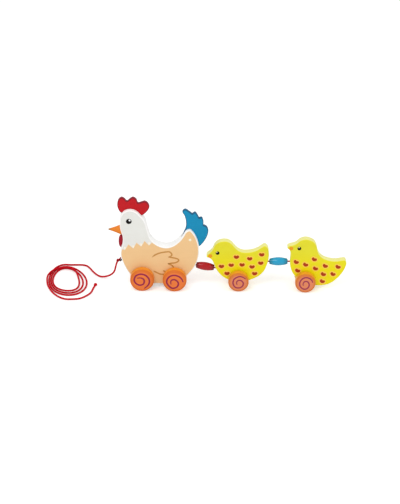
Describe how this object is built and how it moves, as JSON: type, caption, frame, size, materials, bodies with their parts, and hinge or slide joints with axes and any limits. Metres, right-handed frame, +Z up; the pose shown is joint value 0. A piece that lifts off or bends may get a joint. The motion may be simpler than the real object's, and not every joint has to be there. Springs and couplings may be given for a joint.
{
  "type": "pull-along chicken toy",
  "caption": "wooden pull-along hen on four wheels towing two chicks on cord links through beads, with a loose pull cord",
  "frame": {"origin": "on the floor below the middle of the toy's length, from the hen's beak to the second chick's tail, and midway between its near and far wheels", "axes": "X along the toy, the hen facing -X and the chicks behind it at +X; Y across it; Z up from the floor that the wheels stand on"},
  "size_m": [0.4438, 0.1144, 0.1421],
  "materials": {
    "white_paint": "wood board painted white, tan print on its faces",
    "red_paint": "satin red paint on wood",
    "dark_red_paint": "satin dark red paint on wood",
    "blue_paint": "satin blue paint on wood",
    "orange_paint": "satin orange paint on wood",
    "yellow_paint": "satin yellow paint on wood",
    "red_bead": "glossy red lacquer on wood",
    "blue_bead": "glossy light blue lacquer on wood",
    "bare_wood": "bare dowel",
    "red_cord": "braided red cord",
    "dark_steel": "dark steel wire"
  },
  "bodies": {
    "hen": {"hen_body": "white_paint", "hen_comb": "red_paint", "hen_tail_pin": "bare_wood", "hen_beak": "orange_paint", "hen_wattle": "dark_red_paint", "pull_eye": "dark_steel", "pull_cord_knot": "red_cord", "pull_cord_lead": "red_cord", "pull_cord_coil": "red_cord", "pull_cord_tail": "red_cord", "pull_cord_end_knot": "red_cord", "link_1_front_anchor": "red_cord"},
    "hen_tail": {"hen_tail": "blue_paint"},
    "hen_front_wheels": {"hen_front_axle": "bare_wood", "hen_front_wheel_near": "orange_paint", "hen_front_wheel_far": "orange_paint"},
    "hen_rear_wheels": {"hen_rear_axle": "bare_wood", "hen_rear_wheel_near": "orange_paint", "hen_rear_wheel_far": "orange_paint"},
    "link_1_front": {"link_1_front_cord": "red_cord"},
    "link_1_core": {"link_1_core_cord": "red_cord"},
    "link_1_bead": {"link_1_bead": "red_bead"},
    "link_1_rear": {"link_1_rear_cord": "red_cord"},
    "chick_1": {"chick_1_body": "yellow_paint", "link_1_rear_anchor": "red_cord", "link_2_front_anchor": "red_cord"},
    "chick_1_wheels": {"chick_1_axle": "bare_wood", "chick_1_wheel_near": "orange_paint", "chick_1_wheel_far": "orange_paint"},
    "link_2_front": {"link_2_front_cord": "red_cord"},
    "link_2_core": {"link_2_core_cord": "red_cord"},
    "link_2_bead": {"link_2_bead": "blue_bead"},
    "link_2_rear": {"link_2_rear_cord": "red_cord"},
    "chick_2": {"chick_2_body": "yellow_paint", "link_2_rear_anchor": "red_cord"},
    "chick_2_wheels": {"chick_2_axle": "bare_wood", "chick_2_wheel_near": "orange_paint", "chick_2_wheel_far": "orange_paint"}
  },
  "joints": [
    {"name": "hen_front_wheels_turn", "type": "hinge", "parent": "hen", "child": "hen_front_wheels", "pos_m": [-0.12411, 0, 0.0175], "axis": [0, 1, 0], "continuous": true},
    {"name": "hen_rear_wheels_turn", "type": "hinge", "parent": "hen", "child": "hen_rear_wheels", "pos_m": [-0.07661, 0, 0.0175], "axis": [0, 1, 0], "continuous": true},
    {"name": "chick_1_wheels_turn", "type": "hinge", "parent": "chick_1", "child": "chick_1_wheels", "pos_m": [0.01668, 0, 0.015], "axis": [0, 1, 0], "continuous": true},
    {"name": "chick_2_wheels_turn", "type": "hinge", "parent": "chick_2", "child": "chick_2_wheels", "pos_m": [0.11449, 0, 0.015], "axis": [0, 1, 0], "continuous": true},
    {"name": "hen_tail_swing", "type": "hinge", "parent": "hen", "child": "hen_tail", "pos_m": [-0.05496, 0, 0.0788], "axis": [0, 1, 0], "range_deg": [-18, 0]},
    {"name": "link_1_yaw_front", "type": "hinge", "parent": "hen", "child": "link_1_front", "pos_m": [-0.04799, 0, 0.0343], "axis": [0, 0, 1], "range_deg": [-20, 20]},
    {"name": "link_1_pitch_front", "type": "hinge", "parent": "link_1_front", "child": "link_1_core", "pos_m": [-0.04552, 0, 0.03393], "axis": [0, 1, 0], "range_deg": [-8, 20]},
    {"name": "link_1_bead_spin", "type": "hinge", "parent": "link_1_core", "child": "link_1_bead", "pos_m": [-0.04552, 0, 0.03393], "axis": [0.989, 0, -0.1481], "continuous": true},
    {"name": "link_1_pitch_rear", "type": "hinge", "parent": "link_1_core", "child": "link_1_rear", "pos_m": [-0.01921, 0, 0.02999], "axis": [0, 1, 0], "range_deg": [0, 40]},
    {"name": "link_1_yaw_rear", "type": "hinge", "parent": "link_1_rear", "child": "chick_1", "pos_m": [-0.01595, 0, 0.0295], "axis": [0, 0, 1], "range_deg": [-20, 20]},
    {"name": "link_2_yaw_front", "type": "hinge", "parent": "chick_1", "child": "link_2_front", "pos_m": [0.0589, 0, 0.0415], "axis": [0, 0, 1], "range_deg": [-20, 20]},
    {"name": "link_2_pitch_front", "type": "hinge", "parent": "link_2_front", "child": "link_2_core", "pos_m": [0.0614, 0, 0.04155], "axis": [0, 1, 0], "range_deg": [0, 30]},
    {"name": "link_2_bead_spin", "type": "hinge", "parent": "link_2_core", "child": "link_2_bead", "pos_m": [0.0614, 0, 0.04155], "axis": [0.9998, 0, 0.0195], "continuous": true},
    {"name": "link_2_pitch_rear", "type": "hinge", "parent": "link_2_core", "child": "link_2_rear", "pos_m": [0.08799, 0, 0.04207], "axis": [0, 1, 0], "range_deg": [-26, 10]},
    {"name": "link_2_yaw_rear", "type": "hinge", "parent": "link_2_rear", "child": "chick_2", "pos_m": [0.09129, 0, 0.04213], "axis": [0, 0, 1], "range_deg": [-20, 20]}
  ]
}
